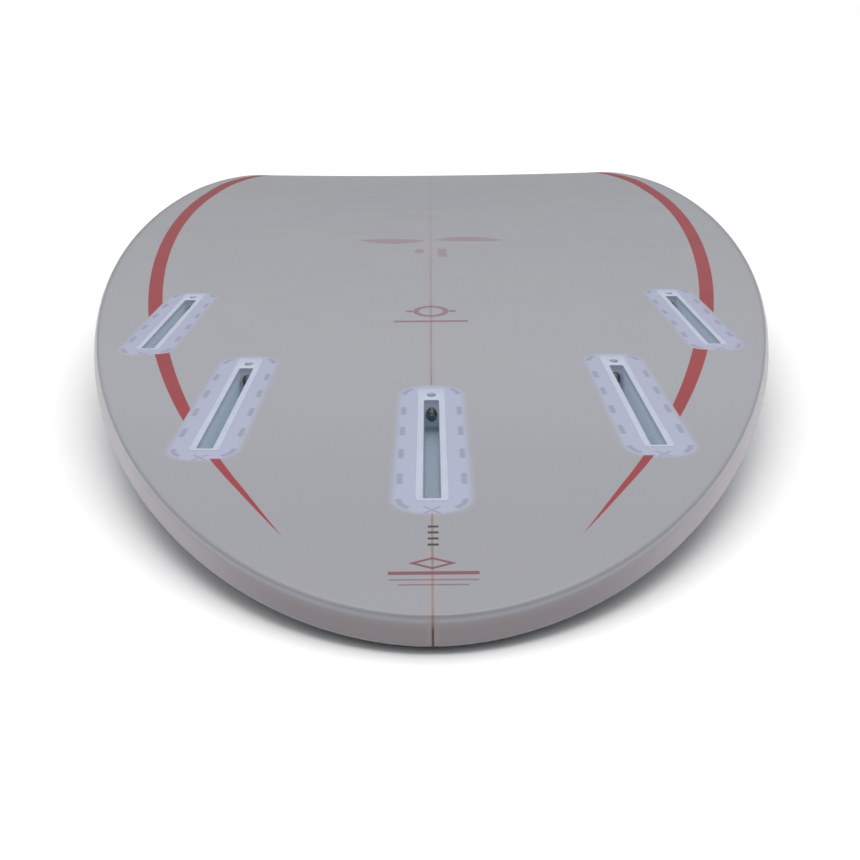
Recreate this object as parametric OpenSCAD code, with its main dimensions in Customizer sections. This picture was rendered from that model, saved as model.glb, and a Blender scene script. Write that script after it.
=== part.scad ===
// Mid-length surfboard with five empty long fin boxes, lying deck down.
// Row frame: +X across the board, +Y from tail to nose, +Z out of the bottom (fin side).
// The board is drawn in its own frame first: x = 0 on the stringer, y = 0 at the tail tip,
// z = 0 on the flattest part of the bottom. rest_on_deck() then lays it on its tips.

/* [Board outline] */
// Length from tail tip to nose tip
board_l = 2438; // [2200:1:2600]
// Width at the wide point
board_w = 594; // [560:1:620]
// Distance of the wide point from the tail tip
wide_y = 1244; // [1150:1:1350]
// Fullness of the tail outline along the board
tail_along = 1.85; // [1.7:0.01:2.1]
// Fullness of the tail outline across the board
tail_across = 1.92; // [1.8:0.01:2.1]
// Fullness of the nose outline along the board
nose_along = 2.5; // [1.9:0.01:2.7]
// Fullness of the nose outline across the board
nose_across = 2.1; // [1.7:0.01:2.2]

/* [Rocker and foil] */
// Height that the tail tip lifts
tail_rocker = 60.5; // [40:0.5:75]
// Height that the nose tip lifts
nose_rocker = 122; // [100:1:140]
// Distance of the flattest point from the tail tip
flat_y = 1139; // [1050:1:1250]
// Curve of the tail rocker
tail_curve = 1.8; // [1.7:0.01:2.2]
// Curve of the nose rocker
nose_curve = 2.1; // [1.9:0.01:2.5]
// Greatest thickness
board_t = 76; // [70:0.5:80]
// Thickness at the tail tip
tail_t = 12; // [11:0.5:16]
// Thickness at the nose tip
nose_t = 15; // [13:0.5:18]
// Depth of the hollow along the middle of the bottom
concave_h = 5; // [0:0.5:8]

/* [Rail] */
// Depth of the rail's widest line under the bottom edge at the tail
apex_tail = 9.3; // [8:0.1:11]
// Depth of the rail's widest line under the bottom edge at mid length
apex_mid = 26; // [20:0.5:30]
// How far the bottom edge tucks in at the tail
tuck_tail = 1; // [0.8:0.1:3]
// How far the bottom edge tucks in at mid length
tuck_mid = 30; // [15:0.5:35]
// Softness of the bottom edge at the tail, 0 for a hard edge
rail_roll = 0.3; // [0:0.05:0.6]
// Run of the round-off at the tail and nose tips
tip_run = 14; // [10:0.5:18]
// Fullness of the deck across the board
deck_across = 2.6; // [2.2:0.1:3]
// Fullness of the deck's drop to the rail
deck_drop = 1.9; // [1.6:0.1:2.2]

/* [Laminate and stringer] */
// Thickness of the glass and resin skin
skin_t = 1.2; // [1:0.1:1.6]
// Thickness of each wood ply of the stringer
ply_t = 1.5; // [1.2:0.1:3]
// Thickness of the dark glue line between the plies
glue_t = 0.8; // [0.5:0.1:1]

/* [Fin boxes] */
// Length of the visible rim
rim_l = 133.4; // [133:0.1:134]
// Width of the visible rim
rim_w = 12.7; // [12.5:0.1:13]
// Length of the fin slot
slot_l = 114.3; // [113:0.1:115]
// Width of the fin slot
slot_w = 6.8; // [6.6:0.1:7]
// Depth of the fin slot
slot_d = 14.8; // [13:0.1:15]
// Thickness of the wall behind the slot
slot_rear_wall = 2.4; // [2:0.1:3]
// Depth of the box body
box_d = 18.6; // [17.5:0.1:19]
// Width of the box body under its flange
box_w = 14; // [13.4:0.1:15]
// Length of the glassed-in flange
flange_l = 150.8; // [148:0.2:152]
// Width of the glassed-in flange
flange_w = 31.8; // [30:0.1:33]
// Distance that the flange sits behind the rim's middle
flange_back = 3.2; // [2.5:0.1:5]
// Distance of the centre box from the tail tip
center_y = 152.6; // [140:0.1:170]
// Distance of the rear side boxes from the tail tip
rear_y = 206; // [195:0.5:215]
// Distance of the rear side boxes from the stringer
rear_x = 94.4; // [90:0.1:100]
// Turn of the rear side boxes, noses inward
rear_toe = 0.5; // [0:0.1:2]
// Distance of the front side boxes from the tail tip
front_y = 359; // [350:0.5:370]
// Distance of the front side boxes from the stringer
front_x = 152.4; // [146:0.1:158]
// Turn of the front side boxes, noses inward
front_toe = 0.8; // [0:0.1:2]

/* [Fin screws] */
// Thread diameter of the grub screws
grub_dia = 4.8; // [4.7:0.1:5]
// Length of the grub screws
grub_l = 8; // [7.5:0.1:8.4]
// Distance from the slot to the middle of the access hole
access_gap = 7.4; // [7:0.1:8]

/* [Leash plug] */
// Distance of the leash plug from the tail tip
leash_y = 88; // [80:1:100]
// Distance of the leash plug from the stringer
leash_x = 38; // [34:1:42]
// Diameter of the leash plug
leash_dia = 30; // [28:0.5:32]
// Depth of the leash plug
leash_d = 15.5; // [14:0.5:16]
// Diameter of the steel leash pin
leash_pin_dia = 3; // [2.5:0.1:3.5]

/* [Vent] */
// Distance of the vent from the tail tip
vent_y = 1600; // [1500:10:1700]
// Distance of the vent from the stringer
vent_x = 38; // [30:1:50]
// Diameter of the vent housing
vent_dia = 22; // [20:0.5:24]

/* [Hidden] */

$fn = 48;
rows = 46;                      // stations from tail tip to nose tip
bottom_cols = 5;                // strips from the stringer to the bottom edge
rail_cols = 3;                  // strips from the bottom edge to the rail's widest line
deck_cols = 9;                  // strips from the widest line round to the deck's middle
reach = 400;                    // a length past any side of the board
stringer_w = 2 * ply_t + glue_t;
flange_t = 1.5;                 // thickness of a fin box's flange
flange_r = 14;                  // corner radius of the flange
flange_top = -1.5;              // the flange lies just under the skin
window_w = 2.3;                 // windows in the flange
window_l = 11;
window_x = 12.6;                // their distance from the flange's middle line
window_pitch = 26.6;
window_back = 5.2;              // how far their middle sits behind the rim's middle
cross_w = 1.1;                  // two crossing slits behind the rim
cross_l = 9;
cross_back = 7.9;
arc_in = 2.1;                   // how far the arc windows sit in from the flange's edge
arc_span = 50;                  // angle that each covers, from the side
bed_gap = 1.6;                  // resin round a fin box
bed_floor = 1;                  // resin under a fin box
rim_r = 2;                      // corner radius of the rim
slot_front = slot_l - rim_l / 2 + slot_rear_wall;
slot_mid = slot_front - slot_l / 2;
grub_fit = 0.04;                // clearance round a grub screw's crest
grub_tilt = 45;                 // slope of a grub screw's bore
grub_start = 4.2;               // how far along its bore a grub screw starts
access_depth = 3.2;             // the key's hole is narrower than the thread down to here
socket_af = 2.4;                // hex key size
socket_d = 3;                   // depth of the hex socket
key_hole_dia = 4.2;             // hole through the rim for the hex key
lip_t = 1.6;                    // thickness of the leash plug's and the vent's lips
lip_w = 1.5;                    // how far those lips stand out, and the resin under them
plug_floor = 1.2;               // resin under the leash plug and the vent
leash_wall = 2.4;               // wall of the leash plug
leash_pin_z = -4.2;             // depth of the middle of the leash pin
vent_d = 13;                    // depth of the vent housing
vent_head_dia = 15;
vent_head_t = 2.6;
vent_head_z = -0.3;             // the vent screw's head sits just under the deck
vent_thread_dia = 9.9;
vent_thread_l = 5.6;
oring_wire = 1.8;
oring_dia = 12.2;               // middle of the O-ring's wire
vent_seat_z = vent_head_z - vent_head_t - oring_wire;

// ---- Shape of the board, as functions of the distance s from the tail tip ----

function tail_part(s) = max(0, 1 - s / wide_y);
function nose_part(s) = max(0, (s - wide_y) / (board_l - wide_y));
function half_w(s) = board_w / 2 * (s < wide_y
    ? pow(max(0, 1 - pow(tail_part(s), tail_along)), 1 / tail_across)
    : pow(max(0, 1 - pow(nose_part(s), nose_along)), 1 / nose_across));
function bottom_z(s) = s < flat_y
    ? -tail_rocker * pow((flat_y - s) / flat_y, tail_curve)
    : -nose_rocker * pow((s - flat_y) / (board_l - flat_y), nose_curve);
function thick(s) = s < flat_y
    ? board_t - (board_t - tail_t) * pow((flat_y - s) / flat_y, 2.2)
    : board_t - (board_t - nose_t) * pow((s - flat_y) / (board_l - flat_y), 2.4);
function mid_bulge(s) = pow(sin(180 * s / board_l), 2);
function apex_d(s) = apex_tail + (apex_mid - apex_tail) * mid_bulge(s);
function tuck(s) = tuck_tail + (tuck_mid - tuck_tail) * pow(mid_bulge(s), 1.5);
function concave(s) = concave_h * pow(mid_bulge(s), 2);
function slope(s) = atan((bottom_z(s + 1) - bottom_z(s - 1)) / 2);

// Unit vector that points inward from the outline at s, as [x, y] on the +X side
function inward(s) = let (
    d = 0.2,
    a = max(0, s - d),
    b = min(board_l, s + d),
    run = [half_w(b) - half_w(a), b - a]
) [-run[1], run[0]] / norm(run);

// Depth of the deck under the bottom edge, and its height, at x from the stringer
function deck_depth(x, s) = apex_d(s)
    + (thick(s) - apex_d(s)) * pow(1 - pow(abs(x) / half_w(s), deck_across), 1 / deck_drop);
function deck_z(x, s) = bottom_z(s) - deck_depth(x, s);

// ---- Surface points. inset is 0 on the outside and skin_t on the foam ----

// A point of the bottom, u = 0 on the stringer and 1 at the bottom edge
function bottom_point(s, u, inset) = let (
    n = inward(s),
    edge = [half_w(s), s] + (tuck(s) + inset) * n,
    y = edge[1]
) [max(0, edge[0]) * u, y, bottom_z(y) - concave(s) * (1 - u * u) - inset];

// A point of the rail between the bottom edge (v = 0) and its widest line (v = 1)
function rail_point(s, v, inset) = let (
    n = inward(s),
    in = inset + tuck(s) * (1 - sin(90 * v)),
    p = [half_w(s), s] + in * n,
    roll = rail_roll + (1 - rail_roll) * mid_bulge(s),
    d = inset + (apex_d(s) - inset) * (roll * (1 - cos(90 * v)) + (1 - roll) * v)
) [max(0, p[0]), p[1], bottom_z(p[1]) - d];

// A point of the deck from the rail's widest line (w = 0) to the stringer (w = 1)
function deck_point(s, w, inset) = let (
    n = inward(s),
    q = 1 - pow(cos(90 * w), 2 / deck_across),
    rail = [half_w(s), s] + inset * n,
    spine = [0, s + (tip_run + inset) * pow(abs(n[1]), 3) * sign(n[1])],
    p = rail + (spine - rail) * q,
    d = apex_d(s) + (thick(s) - inset - apex_d(s)) * pow(sin(90 * w), 2 / deck_drop)
) [max(0, p[0]), p[1], bottom_z(p[1]) - d];

// Stations, closer together towards both tips
tip_s = 0.15;
stations = [for (i = [0:rows]) tip_s + (board_l - 2 * tip_s) * (1 - cos(180 * i / rows)) / 2];

// Right half of the bottom skin's section, stringer to widest line
function bottom_half(s, inset) = concat(
    [for (k = [1:bottom_cols]) bottom_point(s, k / bottom_cols, inset)],
    [for (k = [1:rail_cols]) rail_point(s, k / rail_cols, inset)]);
// Right half of the deck skin's section, widest line to stringer
function deck_half(s, inset) = [for (k = [0:deck_cols - 1]) deck_point(s, k / deck_cols, inset)];

function mirrored(points) = [for (k = [len(points) - 1:-1:0]) [-points[k][0], points[k][1], points[k][2]]];
// Whole section of the bottom, left widest line to right widest line
function bottom_row(s, inset) = let (half = bottom_half(s, inset))
    concat(mirrored(half), [bottom_point(s, 0, inset)], half);
// Whole section of the deck, right widest line to left widest line
function deck_row(s, inset) = let (half = deck_half(s, inset))
    concat(half, [deck_point(s, 1, inset)], mirrored(half));

// ---- Meshes over a grid of points ----

function span(first, n) = [for (k = [0:n - 1]) first + k];
function flip(faces) = [for (f = faces) [for (k = [len(f) - 1:-1:0]) f[k]]];
// A quad as two triangles, split the same way on the foam and on the skin that covers it
function halves(a, b, c, d) = [[a, b, c], [a, c, d]];
// Faces between each two neighbouring rows of n points; the first point has index base
function strip_faces(n, base, count) = [for (i = [0:count - 2], k = [0:n - 2])
    let (here = base + i * n + k, above = here + n)
    each halves(here, above, above + 1, here + 1)];
// Closes a row across the tip: rungs between mirrored points, then one face over its middle
function tip_faces(ids, rungs) = let (n = len(ids)) concat(
    [for (k = [0:rungs - 2]) [ids[k], ids[k + 1], ids[n - 2 - k], ids[n - 1 - k]]],
    [[for (k = [rungs - 1:n - rungs]) ids[k]]]);

// A skin: an outside grid, an inside grid, and walls along their shared edges
module skin(outside, inside, rungs) {
    n = len(outside[0]);
    m = len(outside);
    last = (m - 1) * n;
    inner = m * n;
    points = [for (row = concat(outside, inside)) each row];
    faces = concat(
        strip_faces(n, 0, m),
        tip_faces(span(0, n), rungs),
        flip(tip_faces(span(last, n), rungs)),
        flip(strip_faces(n, inner, m)),
        flip(tip_faces(span(inner, n), rungs)),
        tip_faces(span(inner + last, n), rungs),
        [for (i = [0:m - 2]) [i * n, inner + i * n, inner + (i + 1) * n, (i + 1) * n]],
        [for (i = [0:m - 2]) [i * n + n - 1, (i + 1) * n + n - 1,
            inner + (i + 1) * n + n - 1, inner + i * n + n - 1]],
        [[0, n - 1, inner + n - 1, inner]],
        [[last, inner + last, inner + last + n - 1, last + n - 1]]);
    polyhedron(points, faces, convexity = 4);
}

// The whole board inside its skin, as one closed shape
module core() {
    rings = [for (s = stations) let (deck = deck_row(s, skin_t))
        concat(bottom_row(s, skin_t), [for (k = [1:len(deck) - 2]) deck[k]])];
    n = len(rings[0]);
    m = len(rings);
    low = 2 * (bottom_cols + rail_cols);
    last = (m - 1) * n;
    ends = [for (first = [0, last]) concat(
        flip_if(first > 0, tip_faces(span(first, low + 1), rail_cols)),
        flip_if(first > 0, tip_faces(concat(span(first + low, n - low), [first]), deck_cols)))];
    sides = [for (i = [0:m - 2], k = [0:n - 1]) let (next = (k + 1) % n)
        each halves(i * n + k, (i + 1) * n + k, (i + 1) * n + next, i * n + next)];
    polyhedron([for (row = rings) each row], concat(sides, ends[0], ends[1]), convexity = 4);
}
function flip_if(turned, faces) = turned ? flip(faces) : faces;

// ---- How the board lies ----

outer_points = [for (s = stations) each concat(bottom_row(s, 0), deck_row(s, 0))];
deck_spine = [for (s = stations) deck_point(s, 1, 0)];
nose_low = deck_spine[rows - 2];
tilt = atan(min([for (p = deck_spine) if (p[1] < board_l / 2) (p[2] - nose_low[2]) / (nose_low[1] - p[1])]));
laid_y = [for (p = outer_points) p[1] * cos(tilt) - p[2] * sin(tilt)];
laid_z = [for (p = outer_points) p[1] * sin(tilt) + p[2] * cos(tilt)];

// Turns the board so that its deck rests on both tips, with the origin under its middle
module rest_on_deck() {
    translate([0, -(min(laid_y) + max(laid_y)) / 2, -min(laid_z)]) rotate([tilt, 0, 0]) children();
}

// ---- Places on the board ----

// Each fin box: name, distance from the stringer, distance from the tail, toe turn
BOXES = [
    ["center", 0, center_y, 0],
    ["rear_left", -rear_x, rear_y, -rear_toe],
    ["rear_right", rear_x, rear_y, rear_toe],
    ["front_left", -front_x, front_y, -front_toe],
    ["front_right", front_x, front_y, front_toe]
];

// Puts children at a fin box: z = 0 on the bottom, +Y towards the nose
module at_box(box) {
    x = box[1];
    y = box[2];
    z = bottom_z(y) - concave(y) * (1 - pow(x / half_w(y), 2));
    translate([x, y, z]) rotate([slope(y), 0, 0]) rotate([0, 0, box[3]]) children();
}

// Puts children on the deck: z = 0 on the deck and +Z out of it
module at_deck(x, y) {
    along = atan((deck_z(x, y + 2) - deck_z(x, y - 2)) / 4);
    across = atan((deck_z(x + 2, y) - deck_z(x - 2, y)) / 4);
    translate([x, y, deck_z(x, y)]) rotate([along, -across, 0]) mirror([0, 0, 1]) children();
}

// ---- Fin box pieces, in the box's own place ----

// A rectangle with round corners
module rounded(w, l, r) {
    square([w - 2 * r, l], center = true);
    square([w, l - 2 * r], center = true);
    for (x = [-1, 1], y = [-1, 1]) translate([x * (w / 2 - r), y * (l / 2 - r)]) circle(r);
}

// A slot with round ends
module stadium(w, l) {
    square([w, l - w], center = true);
    for (y = [-1, 1]) translate([0, y * (l - w) / 2]) circle(w / 2);
}

// Windows that let resin lock the flange: four along each side, arcs at the corners, a cross
module flange_windows() {
    for (x = [-1, 1], k = [-1.5:1.5]) translate([x * window_x, k * window_pitch - window_back])
        stadium(window_w, window_l);
    for (x = [-1, 1], y = [-1, 1])
        translate([x * (flange_w / 2 - flange_r), y * (flange_l / 2 - flange_r) - flange_back])
            intersection() {
                difference() {
                    circle(flange_r - arc_in);
                    circle(flange_r - arc_in - window_w);
                }
                polygon([[0, 0], [x * 2 * flange_r, 0],
                    [x * 2 * flange_r, y * 2 * flange_r * tan(arc_span)]]);
            }
    for (turn = [-45, 45]) translate([0, -rim_l / 2 - cross_back]) rotate(turn)
        stadium(cross_w, cross_l);
}

// Lays children along the grub screw's bore: origin on the skin, +Z down and back to the slot
module along_grub() {
    translate([0, slot_front + access_gap, 0]) rotate([90 + grub_tilt, 0, 0]) children();
}

module fin_box(box) {
    color("lavender") rest_on_deck() at_box(box) difference() {
        union() {
            translate([0, 0, -box_d]) linear_extrude(box_d + flange_top) rounded(box_w, rim_l, rim_r);
            translate([0, 0, flange_top - flange_t]) linear_extrude(-flange_top + flange_t)
                rounded(rim_w, rim_l, rim_r);
            translate([0, -flange_back, flange_top - flange_t]) linear_extrude(flange_t)
                rounded(flange_w, flange_l, flange_r);
        }
        translate([0, 0, flange_top - flange_t - 0.01]) linear_extrude(flange_t + 0.02) flange_windows();
        translate([0, slot_mid, -slot_d]) linear_extrude(slot_d + 1) rounded(slot_w, slot_l, 1);
        along_grub() translate([0, 0, -4]) cylinder(d = key_hole_dia, h = 12);
        along_grub() translate([0, 0, access_depth]) cylinder(r = grub_dia / 2 + grub_fit, h = 13);
    }
}

// Room in the foam for a fin box and its resin
module fin_pocket() {
    translate([0, 0, -box_d - bed_floor]) linear_extrude(box_d + bed_floor + 2)
        rounded(box_w + 2 * bed_gap, rim_l + 2 * bed_gap, rim_r + bed_gap);
    translate([0, -flange_back, flange_top - flange_t]) linear_extrude(-flange_top + flange_t + 2)
        rounded(flange_w + 1, flange_l + 1, flange_r + 0.5);
}

// Resin cup between the box's body and the foam
module fin_bed(box) {
    color("gainsboro") rest_on_deck() at_box(box) difference() {
        translate([0, 0, -box_d - bed_floor]) linear_extrude(box_d + bed_floor + flange_top - flange_t)
            rounded(box_w + 2 * bed_gap, rim_l + 2 * bed_gap, rim_r + bed_gap);
        translate([0, 0, -box_d]) linear_extrude(box_d) rounded(box_w, rim_l, rim_r);
    }
}

// Grub screw with a hex socket at its outer end and a cupped, chamfered tip
module fin_screw(box) {
    bevel = 0.6;
    color("dimgray") rest_on_deck() at_box(box) along_grub() translate([0, 0, grub_start]) difference() {
        rotate_extrude() polygon([
            [0, 0], [grub_dia / 2 - bevel, 0], [grub_dia / 2, bevel],
            [grub_dia / 2, grub_l - bevel], [grub_dia / 2 - bevel, grub_l], [0.9, grub_l],
            [0, grub_l - 0.7]]);
        translate([0, 0, -1]) cylinder(d = socket_af / cos(30), h = socket_d + 1, $fn = 6);
    }
}

// ---- Round plugs let into the deck: the leash plug and the vent ----

// A round body with a lip that is flush with the deck
module plug_body(d, depth) {
    translate([0, 0, -depth]) cylinder(d = d - 2 * lip_w, h = depth - lip_t / 2);
    translate([0, 0, -lip_t]) cylinder(d = d, h = lip_t);
}

// Room in the foam for a plug and its resin
module plug_pocket(d, depth) {
    translate([0, 0, -depth - plug_floor]) cylinder(d = d, h = depth + plug_floor + 4);
}

// Resin cup between a plug's body and the foam
module plug_bed(d, depth) {
    difference() {
        translate([0, 0, -depth - plug_floor]) cylinder(d = d, h = depth + plug_floor - lip_t);
        translate([0, 0, -depth]) cylinder(d = d - 2 * lip_w, h = depth);
    }
}

// ---- Nodes ----

// One half of the foam core; the other side of the stringer is cut away
module foam(cut_side) {
    color("whitesmoke") rest_on_deck() difference() {
        core();
        translate([cut_side * (reach - stringer_w / 2), board_l / 2, 0])
            cube([2 * reach, board_l + reach, 2 * reach], center = true);
        for (box = BOXES) if (box[1] * cut_side <= 0) at_box(box) fin_pocket();
        if (cut_side < 0) {
            at_deck(leash_x, leash_y) plug_pocket(leash_dia, leash_d);
            at_deck(vent_x, vent_y) plug_pocket(vent_dia, vent_d);
        }
    }
}

// A lengthwise slice of the core, from x = low to x = high
module slice(low, high) {
    rest_on_deck() difference() {
        intersection() {
            core();
            translate([low, -reach, -reach]) cube([high - low, board_l + 2 * reach, 2 * reach]);
        }
        at_box(BOXES[0]) fin_pocket();
    }
}

module rim_hole() {
    translate([0, 0, -6]) linear_extrude(12) rounded(rim_w, rim_l, rim_r);
}

module bottom_laminate() {
    color("lightgrey") rest_on_deck() difference() {
        skin([for (s = stations) bottom_row(s, 0)], [for (s = stations) bottom_row(s, skin_t)], rail_cols);
        for (box = BOXES) at_box(box) rim_hole();
    }
}

module deck_laminate() {
    color("lightgrey") rest_on_deck() difference() {
        skin([for (s = stations) deck_row(s, 0)], [for (s = stations) deck_row(s, skin_t)], deck_cols);
        at_deck(leash_x, leash_y) cylinder(d = leash_dia, h = 8, center = true);
        at_deck(vent_x, vent_y) cylinder(d = vent_dia, h = 8, center = true);
    }
}

module leash_cup() {
    hollow_r = leash_dia / 2 - lip_w - leash_wall;
    bowl = 8;
    color("gainsboro") rest_on_deck() at_deck(leash_x, leash_y) difference() {
        plug_body(leash_dia, leash_d);
        rotate_extrude() polygon(concat(
            [[0, 1], [hollow_r, 1]],
            [for (a = [0:10:90]) [hollow_r * cos(a), bowl * (1 - sin(a)) - leash_d + leash_wall]]));
        leash_rod();
    }
}

// Rod across the leash plug, let into its wall at both ends
module leash_rod() {
    length = leash_dia - 2 * lip_w - 1.4;
    translate([0, 0, leash_pin_z]) rotate([0, 90, 0])
        cylinder(d = leash_pin_dia, h = length, center = true);
}

module leash_pin() {
    color("silver") rest_on_deck() at_deck(leash_x, leash_y) leash_rod();
}

module leash_bed() {
    color("lightgrey") rest_on_deck() at_deck(leash_x, leash_y) plug_bed(leash_dia, leash_d);
}

module vent_housing() {
    color("gainsboro") rest_on_deck() at_deck(vent_x, vent_y) difference() {
        plug_body(vent_dia, vent_d);
        translate([0, 0, vent_seat_z]) cylinder(d = vent_head_dia + 0.8, h = 8);
        translate([0, 0, vent_seat_z - vent_thread_l - 0.4])
            cylinder(r = vent_thread_dia / 2 + 0.05, h = vent_thread_l + 1);
        translate([0, 0, -vent_d - 1]) cylinder(d = 1.6, h = vent_d);
    }
}

module vent_bed() {
    color("lightgrey") rest_on_deck() at_deck(vent_x, vent_y) difference() {
        plug_bed(vent_dia, vent_d);
        translate([0, 0, -vent_d - plug_floor - 1]) cylinder(d = 1.6, h = vent_d);
    }
}

// Vent screw with a coin slot across its head
module vent_screw() {
    color("silver") rest_on_deck() at_deck(vent_x, vent_y) difference() {
        union() {
            translate([0, 0, vent_head_z - vent_head_t]) cylinder(d = vent_head_dia, h = vent_head_t);
            translate([0, 0, vent_seat_z - vent_thread_l])
                cylinder(d = vent_thread_dia, h = vent_thread_l + oring_wire + 0.1);
        }
        translate([0, 0, vent_head_z]) cube([vent_head_dia + 1, 1.8, 2.6], center = true);
    }
}

module vent_oring() {
    color("dimgray") rest_on_deck() at_deck(vent_x, vent_y)
        translate([0, 0, vent_seat_z + oring_wire / 2])
            rotate_extrude() translate([oring_dia / 2, 0]) circle(d = oring_wire);
}

foam(1);  // foam_left
foam(-1);  // foam_right
color("burlywood") slice(-stringer_w / 2, -glue_t / 2);  // stringer_left_ply
color("saddlebrown") slice(-glue_t / 2, glue_t / 2);  // stringer_glue_line
color("burlywood") slice(glue_t / 2, stringer_w / 2);  // stringer_right_ply
bottom_laminate();
deck_laminate();
fin_box(BOXES[0]);  // fin_box_center
fin_box(BOXES[1]);  // fin_box_rear_left
fin_box(BOXES[2]);  // fin_box_rear_right
fin_box(BOXES[3]);  // fin_box_front_left
fin_box(BOXES[4]);  // fin_box_front_right
fin_bed(BOXES[0]);  // fin_bed_center
fin_bed(BOXES[1]);  // fin_bed_rear_left
fin_bed(BOXES[2]);  // fin_bed_rear_right
fin_bed(BOXES[3]);  // fin_bed_front_left
fin_bed(BOXES[4]);  // fin_bed_front_right
fin_screw(BOXES[0]);  // fin_screw_center
fin_screw(BOXES[1]);  // fin_screw_rear_left
fin_screw(BOXES[2]);  // fin_screw_rear_right
fin_screw(BOXES[3]);  // fin_screw_front_left
fin_screw(BOXES[4]);  // fin_screw_front_right
leash_cup();
leash_bed();
leash_pin();
vent_housing();
vent_bed();
vent_screw();
vent_oring();
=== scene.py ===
import bpy
import bmesh
import math
from mathutils import Matrix, Vector


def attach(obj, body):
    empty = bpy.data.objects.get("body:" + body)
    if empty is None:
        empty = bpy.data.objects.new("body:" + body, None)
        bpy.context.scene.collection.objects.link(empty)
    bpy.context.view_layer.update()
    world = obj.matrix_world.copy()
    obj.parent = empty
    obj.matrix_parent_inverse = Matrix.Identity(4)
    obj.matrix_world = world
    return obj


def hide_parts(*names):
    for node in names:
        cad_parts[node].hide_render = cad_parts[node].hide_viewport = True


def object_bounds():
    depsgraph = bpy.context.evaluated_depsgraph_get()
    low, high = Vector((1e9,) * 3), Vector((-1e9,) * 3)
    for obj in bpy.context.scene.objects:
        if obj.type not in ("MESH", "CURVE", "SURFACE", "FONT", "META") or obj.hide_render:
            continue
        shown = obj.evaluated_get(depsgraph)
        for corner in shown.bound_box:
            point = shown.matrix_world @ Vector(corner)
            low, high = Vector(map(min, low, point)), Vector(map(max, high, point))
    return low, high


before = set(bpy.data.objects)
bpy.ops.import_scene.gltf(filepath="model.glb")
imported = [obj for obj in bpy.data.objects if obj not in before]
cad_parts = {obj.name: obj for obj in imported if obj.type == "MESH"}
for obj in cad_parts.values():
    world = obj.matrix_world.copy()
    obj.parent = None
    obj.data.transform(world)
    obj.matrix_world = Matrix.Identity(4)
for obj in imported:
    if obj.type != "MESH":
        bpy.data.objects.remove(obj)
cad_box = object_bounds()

# Lengths are millimetres in the board's own frame until to_row() turns them into the
# row frame's metres. In the board's frame x = 0 is the stringer, y = 0 the tail tip and
# z = 0 the flattest part of the bottom, which faces up.
MM = 0.001

# ---- Board shape, as in the CAD source ----

BOARD_L = 2438.0
BOARD_W = 594.0
WIDE_Y = 1244.0
TAIL_ALONG, TAIL_ACROSS = 1.85, 1.92
NOSE_ALONG, NOSE_ACROSS = 2.5, 2.1
TAIL_ROCKER, NOSE_ROCKER = 60.5, 122.0
FLAT_Y = 1139.0
TAIL_CURVE, NOSE_CURVE = 1.8, 2.1
BOARD_T, TAIL_T, NOSE_T = 76.0, 12.0, 15.0
CONCAVE_H = 5.0
APEX_TAIL, APEX_MID = 9.3, 26.0
TUCK_TAIL, TUCK_MID = 1.0, 30.0
RAIL_ROLL = 0.3
TIP_RUN = 14.0
DECK_ACROSS, DECK_DROP = 2.6, 1.9
SKIN_T = 1.2
TIP_S = 0.15


def half_w(s):
    """Half the board's width at the distance s from the tail tip."""
    if s < WIDE_Y:
        part, along, across = max(0.0, 1 - s / WIDE_Y), TAIL_ALONG, TAIL_ACROSS
    else:
        part, along, across = (s - WIDE_Y) / (BOARD_L - WIDE_Y), NOSE_ALONG, NOSE_ACROSS
    return BOARD_W / 2 * max(0.0, 1 - part ** along) ** (1 / across)


def bottom_z(s):
    """Height of the bottom edge."""
    if s < FLAT_Y:
        return -TAIL_ROCKER * ((FLAT_Y - s) / FLAT_Y) ** TAIL_CURVE
    return -NOSE_ROCKER * ((s - FLAT_Y) / (BOARD_L - FLAT_Y)) ** NOSE_CURVE


def thick(s):
    if s < FLAT_Y:
        return BOARD_T - (BOARD_T - TAIL_T) * ((FLAT_Y - s) / FLAT_Y) ** 2.2
    return BOARD_T - (BOARD_T - NOSE_T) * ((s - FLAT_Y) / (BOARD_L - FLAT_Y)) ** 2.4


def mid_bulge(s):
    return math.sin(math.pi * s / BOARD_L) ** 2


def apex_d(s):
    return APEX_TAIL + (APEX_MID - APEX_TAIL) * mid_bulge(s)


def tuck(s):
    return TUCK_TAIL + (TUCK_MID - TUCK_TAIL) * mid_bulge(s) ** 1.5


def concave(s):
    return CONCAVE_H * mid_bulge(s) ** 2


def inward(s):
    """Unit vector that points inward from the outline on the +X side."""
    a, b = max(0.0, s - 0.2), min(BOARD_L, s + 0.2)
    run = Vector((half_w(b) - half_w(a), b - a)).normalized()
    return Vector((-run.y, run.x))


def bottom_point(s, u, inset):
    n = inward(s)
    edge = Vector((half_w(s), s)) + (tuck(s) + inset) * n
    z = bottom_z(edge.y) - concave(s) * (1 - u * u) - inset
    return Vector((max(0.0, edge.x) * u, edge.y, z))


def rail_point(s, v, inset):
    p = Vector((half_w(s), s)) + (inset + tuck(s) * (1 - math.sin(math.pi / 2 * v))) * inward(s)
    roll = RAIL_ROLL + (1 - RAIL_ROLL) * mid_bulge(s)
    d = inset + (apex_d(s) - inset) * (roll * (1 - math.cos(math.pi / 2 * v)) + (1 - roll) * v)
    return Vector((max(0.0, p.x), p.y, bottom_z(p.y) - d))


def deck_point(s, w, inset):
    n = inward(s)
    q = 1 - max(0.0, math.cos(math.pi / 2 * w)) ** (2 / DECK_ACROSS)
    rail = Vector((half_w(s), s)) + inset * n
    spine = Vector((0, s + math.copysign((TIP_RUN + inset) * abs(n.y) ** 3, n.y)))
    p = rail + (spine - rail) * q
    d = apex_d(s) + (thick(s) - inset - apex_d(s)) * math.sin(math.pi / 2 * w) ** (2 / DECK_DROP)
    return Vector((max(0.0, p.x), p.y, bottom_z(p.y) - d))


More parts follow.
